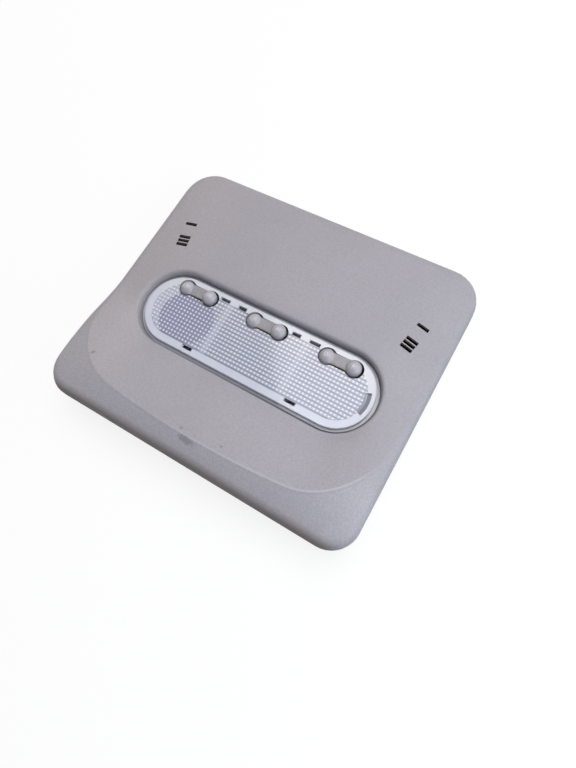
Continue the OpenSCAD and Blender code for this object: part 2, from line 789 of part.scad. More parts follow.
// Spring clip that holds one end of the festoon bulb
clip_w = 8;
module festoon_clip(side) {
    color(brass)
        translate([0, lamp_y + trough_y, 0])
            mirror([side < 0 ? 1 : 0, 0, 0]) {
                difference() {
                    translate([clip_x - 1.3, -clip_w / 2, floor_top])
                        cube([strip_t, clip_w, bulb_z - floor_top + 4]);
                    translate([clip_x - 3, 0, bulb_z])
                        rotate([0, 90, 0])
                            cylinder(d = 2.8 + 2 * slide_gap, h = 5);
                }
                translate([clip_x - 1.3, -clip_w / 2, floor_top])
                    cube([clip_leg_x - clip_x + 1.3 + strip_w / 2, clip_w, strip_t]);
                translate([clip_leg_x - strip_w / 2, 0, floor_top])
                    cube([strip_w, rocker_y - board_w / 2 - slide_gap - trough_y, strip_t]);
            }
}

// Flat strip from the board's end to a lamp socket
board_half = reading_x + 16;
module lamp_strip(side) {
    x = reading_x + 17.8 - strip_w / 2;
    color(brass)
        translate([0, lamp_y, 0])
            mirror([side < 0 ? 1 : 0, 0, 0]) {
                translate([x, reading_y - 4, floor_top])
                    cube([strip_w, rocker_y - reading_y + 4, strip_t]);
                translate([board_half + slide_gap, rocker_y - strip_w, floor_top])
                    cube([x + strip_w - board_half - slide_gap, strip_w, strip_t]);
            }
}

// Circuit board in the switch shelf with a tongue to the rear
tongue_w = 18;
tongue_end = 42;
peg_x = divider_x + 2;
peg_d = 2.2;
pin_pitch = 4;
pin_y = tub_out_r + 6.5;
pin_t = 0.8;
module circuit_board() {
    color(board_green)
        translate([0, lamp_y, floor_top])
            difference() {
                union() {
                    translate([-board_half, rocker_y - board_w / 2, 0])
                        cube([2 * board_half, board_w, board_t]);
                    translate([-tongue_w / 2, rocker_y, 0])
                        cube([tongue_w, tongue_end - rocker_y, board_t]);
                }
                for (side = [-1, 1])
                    translate([side * peg_x, rocker_y, -1])
                        cylinder(d = peg_d + 2 * slide_gap, h = board_t + 2);
                for (k = [-1, 0, 1])
                    translate([k * pin_pitch - pin_t / 2 - slide_gap, pin_y - pin_t / 2 - slide_gap, -1])
                        cube([pin_t + 2 * slide_gap, pin_t + 2 * slide_gap, board_t + 2]);
            }
}

// Connector shell on the tongue, open to the rear
connector_w = 17;
connector_y = open_r + shell_t + part_gap;
connector_l = 14.5;
connector_h = 9.5;
connector_t = 1.4;
pin_z = board_top + connector_h / 2;
module connector_housing() {
    color(black)
        translate([0, lamp_y, board_top])
            difference() {
                union() {
                    translate([-connector_w / 2, connector_y, 0])
                        cube([connector_w, connector_l, connector_h]);
                    translate([-3, connector_y + 3, connector_h - eps])
                        cube([6, connector_l - 3, 1.2]);
                }
                translate([-connector_w / 2 + connector_t, connector_y + 5, connector_t])
                    cube([connector_w - 2 * connector_t, connector_l, connector_h - 2 * connector_t]);
                for (k = [-1, 0, 1]) {
                    translate([k * pin_pitch - pin_t / 2 - 0.05, pin_y - pin_t / 2 - 0.05, -1])
                        cube([pin_t + 0.1, pin_t + 0.1, connector_h / 2 + 1 + pin_t / 2 + 0.05]);
                    translate([k * pin_pitch - pin_t / 2 - 0.05, pin_y - pin_t / 2 - 0.05,
                               connector_h / 2 - pin_t / 2 - 0.05])
                        cube([pin_t + 0.1, 6, pin_t + 0.1]);
                }
            }
}

module pin(k) {
    color(brass)
        translate([k * pin_pitch - pin_t / 2, lamp_y, 0]) {
            translate([0, pin_y - pin_t / 2, floor_top - 0.8])
                cube([pin_t, pin_t, pin_z + pin_t / 2 - floor_top + 0.8]);
            translate([0, pin_y - pin_t / 2, pin_z - pin_t / 2])
                cube([pin_t, 10, pin_t]);
        }
}

// Four pan head screws that hold the carrier to the housing
module carrier_screws() {
    color(steel)
        translate([0, lamp_y, 0])
            for (p = screw_places)
                translate([p[0], p[1], 0]) {
                    difference() {
                        translate([0, 0, collar_z - 4])
                            cylinder(d1 = screw_d * 1.6, d2 = screw_d * 2, h = 2);
                        for (a = [0, 90])
                            translate([0, 0, collar_z - 4])
                                rotate([0, 0, a])
                                    cube([screw_d, 0.6, 1.6], center = true);
                    }
                    translate([0, 0, collar_z - 2 - eps])
                        cylinder(d = screw_d, h = pilot_top - collar_z + 1.5);
                }
}

housing();
lens();
lamp_carrier();
rocker(switch_x[0]);  // rocker_left
rocker(switch_x[1]);  // rocker_centre
rocker(switch_x[2]);  // rocker_right
slider(switch_x[0]);  // slider_left
slider(switch_x[1]);  // slider_centre
slider(switch_x[2]);  // slider_right
wiper(switch_x[0]);  // wiper_left
wiper(switch_x[1]);  // wiper_centre
wiper(switch_x[2]);  // wiper_right
reading_reflector(-1);  // reflector_left
reflector_centre();
reading_reflector(1);  // reflector_right
wedge_bulb(-1);  // bulb_left
festoon_bulb();  // bulb_centre
wedge_bulb(1);  // bulb_right
socket(-1);  // socket_left
socket(1);  // socket_right
festoon_clip(-1);  // festoon_clip_left
festoon_clip(1);  // festoon_clip_right
lamp_strip(-1);  // lamp_strip_left
lamp_strip(1);  // lamp_strip_right
circuit_board();
connector_housing();
pin(-1);  // pin_live
pin(0);  // pin_door
pin(1);  // pin_ground
carrier_screws();
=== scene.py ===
import math

import bmesh
import bpy
from mathutils import Matrix, Vector


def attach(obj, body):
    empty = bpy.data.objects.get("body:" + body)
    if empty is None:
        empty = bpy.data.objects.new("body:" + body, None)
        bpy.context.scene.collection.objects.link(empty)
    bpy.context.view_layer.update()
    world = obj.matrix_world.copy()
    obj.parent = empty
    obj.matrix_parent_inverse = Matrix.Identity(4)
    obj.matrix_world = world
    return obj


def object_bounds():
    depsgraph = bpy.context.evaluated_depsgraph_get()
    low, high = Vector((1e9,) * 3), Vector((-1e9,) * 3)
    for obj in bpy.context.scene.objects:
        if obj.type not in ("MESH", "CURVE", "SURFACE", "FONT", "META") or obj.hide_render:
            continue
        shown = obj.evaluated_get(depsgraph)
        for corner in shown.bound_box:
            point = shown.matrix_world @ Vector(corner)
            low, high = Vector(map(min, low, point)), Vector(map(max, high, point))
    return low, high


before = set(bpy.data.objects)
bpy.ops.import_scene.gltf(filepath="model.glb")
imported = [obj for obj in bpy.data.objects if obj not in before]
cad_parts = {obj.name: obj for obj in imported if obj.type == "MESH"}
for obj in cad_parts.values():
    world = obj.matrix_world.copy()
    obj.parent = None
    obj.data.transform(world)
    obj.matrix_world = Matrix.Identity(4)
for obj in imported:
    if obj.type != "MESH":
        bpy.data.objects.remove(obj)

cad_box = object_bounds()

# Housing: one large injection moulding in lilac grey ABS. The etched tool gives its outside a fine
# leather grain and leaves the inside smooth. The ridge of its nose is painted pale, as rubbed wear
# and as a painted highlight, and the nose is scuffed in four places. Its front edge is darkened
# brown with painted shade.
MM = 0.001
LENS_HALF = 57.5 * MM
LENS_Y = -10 * MM
LIP_R = 26.5 * MM
RIDGE_SIDE = 101.25 * MM
RIDGE_FRONT = -76 * MM
RIDGE_R = 46 * MM
RIDGE_BOW = 2.8 * MM
SLOTS_X = 83 * MM
SLOTS_Y = 38 * MM
SLOTS_R = 15 * MM
GRAIN = 0.95 * MM
FLECK = 1.1 * MM
DEEP_GREY = (0.414, 0.393, 0.434)
PALE_GREY = (0.436, 0.414, 0.458)
WARM_LIT_GREY = (0.462, 0.425, 0.445)
FLANK_LIT_GREY = (0.50, 0.49, 0.55)
FLECK_GREY = (0.30, 0.285, 0.31)
SCUFF_GREY = (0.20, 0.20, 0.235)
WORN_AND_HIGHLIT_GREY = (0.62, 0.61, 0.68)
FRONT_SHADE_BROWN = (0.25, 0.215, 0.20)
GAP_SHADE_BLACK = (0.04, 0.04, 0.045)
SLOT_SHADE_BLACK = (0.02, 0.02, 0.022)
# Each scuff: its middle and half its size on the plan in mm, and its turn in radians.
SCUFFS = (((0, -78.3), (7.5, 2.6), -0.05), ((-6.1, -73.7), (1.6, 1.0), 0.4),
          ((19.6, -71.4), (1.3, 0.9), 0.0), ((-81.7, -61.2), (2.4, 1.2), 0.9))


def shade(name):
    """A new node material and its Principled shader."""
    mat = bpy.data.materials.new(name)
    mat.use_nodes = True
    return mat, mat.node_tree.nodes["Principled BSDF"]


def join(mat, value, socket):
    """Gives a socket a value, a colour or a joined output."""
    if isinstance(value, bpy.types.NodeSocket):
        mat.node_tree.links.new(value, socket)
    elif socket.type == "RGBA" and len(value) == 3:
        socket.default_value = (*value, 1)
    else:
        socket.default_value = value


def put(mat, kind, settings=None, **sockets):
    """Adds one shader node; each named socket takes a value or a joined output."""
    made = mat.node_tree.nodes.new(kind)
    for key, value in (settings or {}).items():
        setattr(made, key, value)
    for key, value in sockets.items():
        join(mat, value, made.inputs[key.replace("_", " ")])
    return made


def finish(mat, bsdf, **sockets):
    """Sets the shader's own sockets."""
    for key, value in sockets.items():
        join(mat, value, bsdf.inputs[key.replace("_", " ")])


def calc(mat, operation, *values):
    """The result of one sum."""
    made = put(mat, "ShaderNodeMath", {"operation": operation})
    for value, socket in zip(values, made.inputs):
        join(mat, value, socket)
    return made.outputs["Value"]


def times(mat, one, other):
    return calc(mat, "MULTIPLY", one, other)


def minus(mat, whole, part):
    return calc(mat, "SUBTRACT", whole, part)


def share(mat, part, whole):
    return calc(mat, "DIVIDE", part, whole)


def most(mat, one, other):
    return calc(mat, "MAXIMUM", one, other)


def least(mat, one, other):
    return calc(mat, "MINIMUM", one, other)


def unsigned(mat, value):
    return calc(mat, "ABSOLUTE", value)


def fade(mat, value, start, end, low=0.0, high=1.0):
    """Goes smoothly from low at start to high at end."""
    made = put(mat, "ShaderNodeMapRange", {"interpolation_type": "SMOOTHSTEP"}, Value=value)
    for socket, number in zip(made.inputs[1:5], (start, end, low, high)):
        join(mat, number, socket)
    return made.outputs["Result"]


def between(mat, factor, first, second):
    """The colour that goes from first to second as the factor goes from 0 to 1."""
    made = put(mat, "ShaderNodeMix", {"data_type": "RGBA"})
    for index, value in ((0, factor), (6, first), (7, second)):
        join(mat, value, made.inputs[index])
    return made.outputs[2]


def place(mat):
    """Where the surface lies, in metres from the middle of the rim."""
    return put(mat, "ShaderNodeTexCoord").outputs["Object"]


def axes(mat, vector):
    """The three parts of a vector."""
    made = put(mat, "ShaderNodeSeparateXYZ", Vector=vector)
    return made.outputs["X"], made.outputs["Y"], made.outputs["Z"]


def upward(mat):
    """How far the surface faces up: 1 on top, 0 on a wall and -1 below."""
    return axes(mat, put(mat, "ShaderNodeTexCoord").outputs["Normal"])[2]


def length(mat, **parts):
    """The length of a vector with the named parts X, Y and Z."""
    whole = put(mat, "ShaderNodeCombineXYZ", **parts).outputs["Vector"]
    return put(mat, "ShaderNodeVectorMath", {"operation": "LENGTH"}, Vector=whole).outputs["Value"]


def lumps(mat, size, detail=2.0, where=None):
    """Noise whose lumps measure about size metres."""
    made = put(mat, "ShaderNodeTexNoise", Vector=where or place(mat), Scale=1 / size, Detail=detail)
    return made.outputs["Fac"]


def patches(mat, size, low=0.0, high=1.0, detail=2.0):
    """Soft patches about size metres wide, from low to high."""
    return fade(mat, lumps(mat, size, detail), 0.3, 0.7, low, high)


def pores(mat, size):
    """Rounded cells about size metres wide, as in leather grain."""
    made = put(mat, "ShaderNodeTexVoronoi", {"feature": "SMOOTH_F1"}, Vector=place(mat),
               Scale=1 / size, Smoothness=0.7)
    return made.outputs["Distance"]


def relief(mat, bsdf, height, depth):
    """Bump of a given depth in metres from a 0 to 1 height."""
    made = put(mat, "ShaderNodeBump", Height=height, Strength=1.0, Distance=depth)
    join(mat, made.outputs["Normal"], bsdf.inputs["Normal"])


def scuff(mat, centre, half, turn):
    """An uneven mark inside an ellipse on the plan, in mm: 1 in it and 0 outside."""
    local = put(mat, "ShaderNodeMapping", {"vector_type": "TEXTURE"}, Vector=place(mat),
                Location=(centre[0] * MM, centre[1] * MM, 0), Rotation=(0, 0, turn),
                Scale=(half[0] * MM, half[1] * MM, 1))
    reach = put(mat, "ShaderNodeVectorMath", {"operation": "LENGTH"},
                Vector=local.outputs["Vector"]).outputs["Value"]
    rough = times(mat, lumps(mat, 1.4 * MM, 3), 1.6)
    return fade(mat, calc(mat, "ADD", reach, rough), 1.75, 1.25)


def shade_group(sharp_angle):
    """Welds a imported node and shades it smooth, with edges over sharp_angle kept sharp."""
    name = "shading_%d" % round(math.degrees(sharp_angle))
    group = bpy.data.node_groups.get(name)
    if group:
        return group
    group = bpy.data.node_groups.new(name, "GeometryNodeTree")
    group.interface.new_socket("Geometry", in_out="INPUT", socket_type="NodeSocketGeometry")
    group.interface.new_socket("Geometry", in_out="OUTPUT", socket_type="NodeSocketGeometry")
    new, link = group.nodes.new, group.links.new
    start, end = new("NodeGroupInput"), new("NodeGroupOutput")
    weld = new("GeometryNodeMergeByDistance")
    weld.inputs["Distance"].default_value = 1e-6
    drop = new("GeometryNodeRemoveAttribute")
    drop.inputs["Name"].default_value = "custom_normal"
    smooth = new("GeometryNodeSetShadeSmooth")
    crease = new("GeometryNodeSetShadeSmooth")
    crease.domain = "EDGE"
    crease.inputs["Shade Smooth"].default_value = False
    angle = new("GeometryNodeInputMeshEdgeAngle")
    over = new("FunctionNodeCompare")
    over.inputs["B"].default_value = sharp_angle
    link(start.outputs[0], drop.inputs["Geometry"])
    link(drop.outputs[0], weld.inputs["Geometry"])
    link(weld.outputs[0], smooth.inputs["Geometry"])
    link(smooth.outputs[0], crease.inputs["Geometry"])
    link(angle.outputs["Unsigned Angle"], over.inputs["A"])
    link(over.outputs["Result"], crease.inputs["Selection"])
    link(crease.outputs[0], end.inputs[0])
    return group


def dress(names, mat, sharp=30):
    """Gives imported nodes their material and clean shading."""
    for name in names:
        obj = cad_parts[name]
        obj.data.materials.clear()
        obj.data.materials.append(mat)
        obj.modifiers.new("shading", "NODES").node_group = shade_group(math.radians(sharp))


grey_abs, grey_abs_bsdf = shade("grained_grey_abs")
east, north, _ = axes(grey_abs, place(grey_abs))
outward = unsigned(grey_abs, east)
tint = between(grey_abs, patches(grey_abs, 45 * MM), DEEP_GREY, PALE_GREY)
# Painted light: the left end is painted warmer and paler, as if lit by warm light from the left.
tint = between(grey_abs, fade(grey_abs, east, -40 * MM, -90 * MM), tint, WARM_LIT_GREY)

# On the plan the ridge of the nose turns round two wide corners, and bows back towards them.
to_side = most(grey_abs, minus(grey_abs, outward, RIDGE_SIDE - RIDGE_R), 0.0)
to_front = least(grey_abs, minus(grey_abs, north, RIDGE_FRONT + RIDGE_R), 0.0)
ahead = minus(grey_abs, LENS_Y, north)
past_end = most(grey_abs, minus(grey_abs, outward, LENS_HALF), 0.0)
from_lens = length(grey_abs, X=past_end, Y=ahead)
frontward = share(grey_abs, ahead, from_lens)
along_lens = least(grey_abs, calc(grey_abs, "POWER", share(grey_abs, outward, LENS_HALF), 2.0), 1.0)
bow = times(grey_abs, fade(grey_abs, frontward, 0.2, 0.9), along_lens)
past_ridge = minus(grey_abs, length(grey_abs, X=to_side, Y=to_front), RIDGE_R)
past_ridge = calc(grey_abs, "MULTIPLY_ADD", bow, RIDGE_BOW, past_ridge)
on_nose = fade(grey_abs, north, -35 * MM, -60 * MM)
# Painted light: past the ridge, the flank of the nose is painted paler and bluer, as if lit by
# bright surroundings.
lit_flank = times(grey_abs, fade(grey_abs, past_ridge, 0.3 * MM, 2.5 * MM), on_nose)
tint = between(grey_abs, times(grey_abs, lit_flank, 0.6), tint, FLANK_LIT_GREY)
flecks = fade(grey_abs, lumps(grey_abs, FLECK, 3), 0.35, 0.65, 0.0, 0.32)
tint = between(grey_abs, flecks, tint, FLECK_GREY)
marks = 0.0
for centre, half, turn in SCUFFS:
    marks = most(grey_abs, marks, scuff(grey_abs, centre, half, turn))
tint = between(grey_abs, times(grey_abs, marks, 0.55), tint, SCUFF_GREY)
# A pale line along the ridge, partly rubbed wear and partly a painted highlight that grows stronger
# to the right.
rub_and_highlight = times(grey_abs, fade(grey_abs, unsigned(grey_abs, past_ridge), 0.9 * MM, 0.2 * MM),
               fade(grey_abs, east, -90 * MM, 60 * MM, 0.2, 1.0))
rub_and_highlight = times(grey_abs, rub_and_highlight, on_nose)
tint = between(grey_abs, times(grey_abs, rub_and_highlight, 0.45), tint, WORN_AND_HIGHLIT_GREY)
# Painted shade: the front edge of the nose is painted darker and browner towards the bottom.
front_shade = fade(grey_abs, north, -84 * MM, -91 * MM, 0.0, 0.8)
tint = between(grey_abs, front_shade, tint, FRONT_SHADE_BROWN)
facing = upward(grey_abs)
# Painted shade: the walls of the slots are painted near black, as the shade inside them.
from_slots = length(grey_abs, X=minus(grey_abs, outward, SLOTS_X),
                    Y=minus(grey_abs, north, SLOTS_Y))
slot_shade = times(grey_abs, fade(grey_abs, from_slots, SLOTS_R, SLOTS_R - 1 * MM),
                  fade(grey_abs, unsigned(grey_abs, facing), 0.6, 0.4))
tint = between(grey_abs, slot_shade, tint, SLOT_SHADE_BLACK)
# Painted shade: the lip round the lens is painted dark down into the gap, most at the front and on
# the right.
gap_shade = calc(grey_abs, "MULTIPLY_ADD", frontward, 0.35, 0.35)
gap_shade = calc(grey_abs, "ADD", gap_shade, fade(grey_abs, east, -80 * MM, 80 * MM, -0.30, 0.20))
gap_shade = times(grey_abs, most(grey_abs, gap_shade, 0.0),
               fade(grey_abs, from_lens, LIP_R + 0.5 * MM, LIP_R - 0.3 * MM))
tint = between(grey_abs, gap_shade, tint, GAP_SHADE_BLACK)
outside = fade(grey_abs, facing, -0.25, -0.05)
grain = calc(grey_abs, "ADD", pores(grey_abs, GRAIN), lumps(grey_abs, 0.4 * MM))
gloss = minus(grey_abs, patches(grey_abs, 6 * MM, 0.50, 0.60), times(grey_abs, marks, 0.15))
finish(grey_abs, grey_abs_bsdf, Base_Color=tint, Roughness=gloss, Specular_IOR_Level=0.35)
relief(grey_abs, grey_abs_bsdf, times(grey_abs, grain, outside), 0.045 * MM)
dress(["housing"], grey_abs, 32)

# Lamp carrier: a white moulding in heat resistant PBT behind the lens, with a round mark from each
# ejector pin. Four self tapping screws hold it to the bosses of the housing.
EJECTOR_PITCH = 19 * MM
EJECTOR_R = 2.5 * MM


def off_centre(mat, along, pitch):
    """Distance from the middle of the nearest cell of a pitch, with its sign."""
    return times(mat, minus(mat, calc(mat, "FRACT", share(mat, along, pitch)), 0.5), pitch)


white_pbt, white_pbt_bsdf = shade("white_pbt")
east, north, _ = axes(white_pbt, place(white_pbt))
ejector = length(white_pbt, X=off_centre(white_pbt, east, EJECTOR_PITCH),
                 Y=off_centre(white_pbt, north, EJECTOR_PITCH))
ejector = fade(white_pbt, ejector, EJECTOR_R, EJECTOR_R - 0.2 * MM, 0.0, 1.5)
finish(white_pbt, white_pbt_bsdf, Roughness=patches(white_pbt, 3 * MM, 0.38, 0.5),
       Base_Color=between(white_pbt, patches(white_pbt, 14 * MM, detail=3),
                          (0.80, 0.79, 0.76), (0.86, 0.855, 0.84)))
relief(white_pbt, white_pbt_bsdf, minus(white_pbt, lumps(white_pbt, 0.8 * MM), ejector), 0.05 * MM)
dress(["lamp_carrier"], white_pbt)

zinc, zinc_bsdf = shade("zinc_plated_steel")
finish(zinc, zinc_bsdf, Metallic=1.0, Roughness=patches(zinc, 0.5 * MM, 0.28, 0.45),
       Base_Color=between(zinc, lumps(zinc, 1.2 * MM, 3), (0.52, 0.53, 0.56), (0.72, 0.72, 0.70)))
relief(zinc, zinc_bsdf, lumps(zinc, 0.3 * MM), 0.01 * MM)
dress(["carrier_screws"], zinc)

# Circuit board: glass fibre board under green mask, with copper tracks below the mask and bare
# tinned pads under the switches. Two pegs of the carrier hold it in the switch shelf.
SHELF_Y = 5.75 * MM
SWITCH_PITCH = 51.75 * MM
TRACK_Y = 1.7 * MM
TRACK_HALF = 0.62 * MM
PAD_HALF_X = 6.2 * MM
PAD_HALF_Y = 2.6 * MM
PAD_SPLIT = 1.2 * MM
PIN_PITCH = 4 * MM
PIN_Y = 20.5 * MM
PINS_HALF = 6.2 * MM
SOLDER_R = 1.3 * MM
board, board_bsdf = shade("masked_circuit_board")
east, north, _ = axes(board, place(board))
from_shelf = unsigned(board, minus(board, north, SHELF_Y))
from_track = unsigned(board, minus(board, from_shelf, TRACK_Y))
track = fade(board, from_track, TRACK_HALF, TRACK_HALF - 0.07 * MM)
from_switch = unsigned(board, off_centre(
    board, calc(board, "ADD", east, SWITCH_PITCH / 2), SWITCH_PITCH))
pad = times(board, fade(board, from_switch, PAD_HALF_X, PAD_HALF_X - 0.2 * MM),
            fade(board, from_shelf, PAD_HALF_Y, PAD_HALF_Y - 0.1 * MM))
from_split = unsigned(board, minus(board, from_switch, PAD_SPLIT))
pad = times(board, pad, fade(board, from_split, 0.25 * MM, 0.35 * MM))
from_pin = length(board, X=off_centre(board, calc(board, "ADD", east, PIN_PITCH / 2), PIN_PITCH),
                  Y=minus(board, north, PIN_Y))
solder = times(board, fade(board, from_pin, SOLDER_R, SOLDER_R - 0.1 * MM),
               fade(board, unsigned(board, east), PINS_HALF, PINS_HALF - 0.2 * MM))
on_face = fade(board, unsigned(board, upward(board)), 0.5, 0.6)
bare_metal = times(board, most(board, pad, solder), on_face)
mask_green = between(board, track, (0.022, 0.115, 0.045), (0.045, 0.20, 0.08))
dull = fade(board, lumps(board, 2 * MM), 0.3, 0.8, 0.0, 0.3)
mask_green = between(board, dull, mask_green, (0.02, 0.08, 0.035))
skin = between(board, on_face, (0.42, 0.36, 0.17), mask_green)
finish(board, board_bsdf, Base_Color=between(board, bare_metal, skin, (0.66, 0.66, 0.64)),
       Metallic=bare_metal, Roughness=patches(board, 1 * MM, 0.28, 0.42))
relief(board, board_bsdf, calc(board, "ADD", times(board, track, 0.6), solder), 0.06 * MM)
dress(["circuit_board"], board)

# Connector: a black glass filled nylon shell on the tongue of the board, open to the rear, round
# three square brass pins that are soldered into the board.
black_nylon, black_nylon_bsdf = shade("glass_filled_nylon")
finish(black_nylon, black_nylon_bsdf, Roughness=patches(black_nylon, 0.8 * MM, 0.34, 0.52),
       Base_Color=between(black_nylon, lumps(black_nylon, 1.5 * MM, 4), (0.012, 0.012, 0.013),
                          (0.032, 0.031, 0.033)))
relief(black_nylon, black_nylon_bsdf, lumps(black_nylon, 0.25 * MM, 3), 0.02 * MM)
dress(["connector_housing"], black_nylon)

# Contacts: stamped brass pins, strips, spring clips and wipers, dulled a little by the heat of the
# bulbs. The strips are pressed into the carrier and the wipers are staked under the sliders.
brass, brass_bsdf = shade("stamped_brass")
streaks = put(brass, "ShaderNodeMapping", Vector=place(brass), Scale=(1, 6, 6)).outputs["Vector"]
rolled = lumps(brass, 1.6 * MM, 3, streaks)
tarnish = fade(brass, lumps(brass, 5 * MM, 3), 0.45, 0.7)
polished = between(brass, rolled, (0.66, 0.47, 0.19), (0.80, 0.62, 0.30))
finish(brass, brass_bsdf, Metallic=1.0, Roughness=fade(brass, tarnish, 0.0, 1.0, 0.24, 0.42),
       Base_Color=between(brass, times(brass, tarnish, 0.5), polished, (0.34, 0.22, 0.10)))
relief(brass, brass_bsdf, rolled, 0.008 * MM)
dress(["pin_live", "pin_door", "pin_ground", "lamp_strip_left", "lamp_strip_right",
       "festoon_clip_left", "festoon_clip_right", "wiper_left", "wiper_centre", "wiper_right"],
      brass)

# Sliders: three small black acetal carriages in the guides of the shelf. The leg of a rocker
# stands in the slot of each and pushes it to and fro.
acetal, acetal_bsdf = shade("black_acetal")
finish(acetal, acetal_bsdf, Roughness=patches(acetal, 1.2 * MM, 0.28, 0.4),
       Base_Color=between(acetal, lumps(acetal, 2 * MM), (0.016, 0.016, 0.018),
                          (0.028, 0.028, 0.031)))
relief(acetal, acetal_bsdf, lumps(acetal, 0.5 * MM), 0.008 * MM)
dress(["slider_left", "slider_centre", "slider_right"], acetal)

# Reflectors: two thin round bowls and one bent trough, moulded and vacuum metallised. They drop
# into the carrier and the lens holds them down.
mirror, mirror_bsdf = shade("vacuum_metal")
haze = fade(mirror, lumps(mirror, 9 * MM, 3), 0.35, 0.75)
finish(mirror, mirror_bsdf, Metallic=1.0, Roughness=fade(mirror, haze, 0.0, 1.0, 0.16, 0.30),
       Base_Color=between(mirror, haze, (0.80, 0.805, 0.83), (0.70, 0.70, 0.735)))
relief(mirror, mirror_bsdf, lumps(mirror, 2.5 * MM), 0.02 * MM)
dress(["reflector_left", "reflector_centre", "reflector_right"], mirror)

# Lamp sockets: two short ceramic tubes that push into the ends of the carrier and grip the flat
# base of a wedge bulb.
ceramic, ceramic_bsdf = shade("steatite")
finish(ceramic, ceramic_bsdf, Roughness=patches(ceramic, 0.6 * MM, 0.5, 0.7),
       Base_Color=between(ceramic, lumps(ceramic, 1.5 * MM, 4), (0.70, 0.68, 0.63),
                          (0.82, 0.80, 0.76)))
relief(ceramic, ceramic_bsdf, lumps(ceramic, 0.3 * MM, 3), 0.02 * MM)
dress(["socket_left", "socket_right"], ceramic)

# Bulbs: blown glass. The two wedge bulbs end in a pinched flat base, and the tubular one has a
# nickel plated cap at each end, where the spring clips hold it.
CAP_START = 12 * MM
CAP_END = 20 * MM
glass, glass_bsdf = shade("blown_bulb_glass")
east, _, _ = axes(glass, place(glass))
outward = unsigned(glass, east)
cap = times(glass, fade(glass, outward, CAP_START - 0.1 * MM, CAP_START),
            fade(glass, outward, CAP_END + 0.1 * MM, CAP_END))
soot = fade(glass, lumps(glass, 6 * MM), 0.45, 0.75, 0.0, 0.35)
envelope = between(glass, soot, (0.97, 0.98, 0.99), (0.72, 0.70, 0.66))
plated = between(glass, lumps(glass, 1.5 * MM), (0.56, 0.54, 0.50), (0.72, 0.70, 0.66))
finish(glass, glass_bsdf, Base_Color=between(glass, cap, envelope, plated), Metallic=cap, IOR=1.5,
       Transmission_Weight=fade(glass, cap, 0.0, 1.0, 1.0, 0.0),
       Roughness=fade(glass, cap, 0.0, 1.0, 0.02, 0.28))
relief(glass, glass_bsdf, lumps(glass, 3 * MM), 0.01 * MM)
dress(["bulb_left", "bulb_centre", "bulb_right"], glass)

# Filaments: coiled tungsten wire on stiff lead wires inside each bulb. The wedge bulbs hold theirs
# across the bulb, and the tubular bulb has one along its middle.
BULB_Z = 10.05 * MM
WEDGE_X = 50 * MM
WEDGE_Y = -12.5 * MM
WEDGE_COIL_X = WEDGE_X + 1 * MM
WEDGE_BASE_X = WEDGE_X + 14 * MM
WEDGE_COIL_HALF = 2.4 * MM
WEDGE_COIL_R = 0.35 * MM
TUBE_BULB_Y = -16.45 * MM
TUBE_HALF = 11 * MM
TUBE_COIL_R = 0.4 * MM
FILAMENT_R = 0.13 * MM


def wire(name, path, radius, mat, closed=False, sides=8):
    """A round wire of a given radius along a path of points."""
    body = bmesh.new()
    rings = []
    side = None
    last = len(path) - 1
    for i, point in enumerate(path):
        before = path[i - 1] if i or closed else point
        after = path[0 if i == last else i + 1] if i < last or closed else point
        along = (after - before).normalized()
        if side is None:
            side = along.orthogonal()
        side = (side - along * side.dot(along)).normalized()
        other = along.cross(side)
        turns = [math.tau * k / sides for k in range(sides)]
        rings.append([body.verts.new(point + radius * (math.cos(t) * side + math.sin(t) * other))
                      for t in turns])
    for i in range(len(rings) if closed else last):
        here, beyond = rings[i], rings[(i + 1) % len(rings)]
        for k in range(sides):
            body.faces.new((here[k], here[(k + 1) % sides], beyond[(k + 1) % sides], beyond[k]))
    if not closed:
        body.faces.new(rings[0][::-1])
        body.faces.new(rings[-1])
    for face in body.faces:
        face.smooth = True
    mesh = bpy.data.meshes.new(name)
    body.to_mesh(mesh)
    body.free()
    mesh.materials.append(mat)
    piece = bpy.data.objects.new(name, mesh)
    bpy.context.scene.collection.objects.link(piece)
    return piece


def coil(start, end, radius, turns, steps=10):
    """Points of a coil round the line between two points."""
    along = end - start
    one = along.orthogonal().normalized()
    two = along.normalized().cross(one)
    count = turns * steps
    return [start + along * (k / count) + radius * (
        math.cos(math.tau * k / steps) * one + math.sin(math.tau * k / steps) * two)
        for k in range(count + 1)]


tungsten, tungsten_bsdf = shade("tungsten_wire")
finish(tungsten, tungsten_bsdf, Metallic=1.0, Roughness=patches(tungsten, 0.3 * MM, 0.3, 0.5),
       Base_Color=between(tungsten, lumps(tungsten, 0.4 * MM), (0.30, 0.30, 0.31),
                          (0.50, 0.50, 0.51)))
paths = {}
for name, way in (("left", -1), ("right", 1)):
    middle = Vector((way * WEDGE_COIL_X, WEDGE_Y, BULB_Z))
    base = Vector((way * WEDGE_BASE_X, WEDGE_Y, BULB_Z))
    reach = Vector((0, WEDGE_COIL_HALF, 0))
    windings = coil(middle - reach, middle + reach, WEDGE_COIL_R, 12)
    paths[name] = [base - reach * 0.6, middle - reach * 1.05, *windings,
                   middle + reach * 1.05, base + reach * 0.6]
left_end = Vector((-TUBE_HALF, TUBE_BULB_Y, BULB_Z))
right_end = Vector((TUBE_HALF, TUBE_BULB_Y, BULB_Z))
straight = (right_end - left_end) * 0.2
windings = coil(left_end + straight, right_end - straight, TUBE_COIL_R, 22)
paths["centre"] = [left_end, *windings, right_end]
for name, path in paths.items():
    piece = wire("filament_" + name, path, FILAMENT_R, tungsten, sides=6)
    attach(piece, "console")

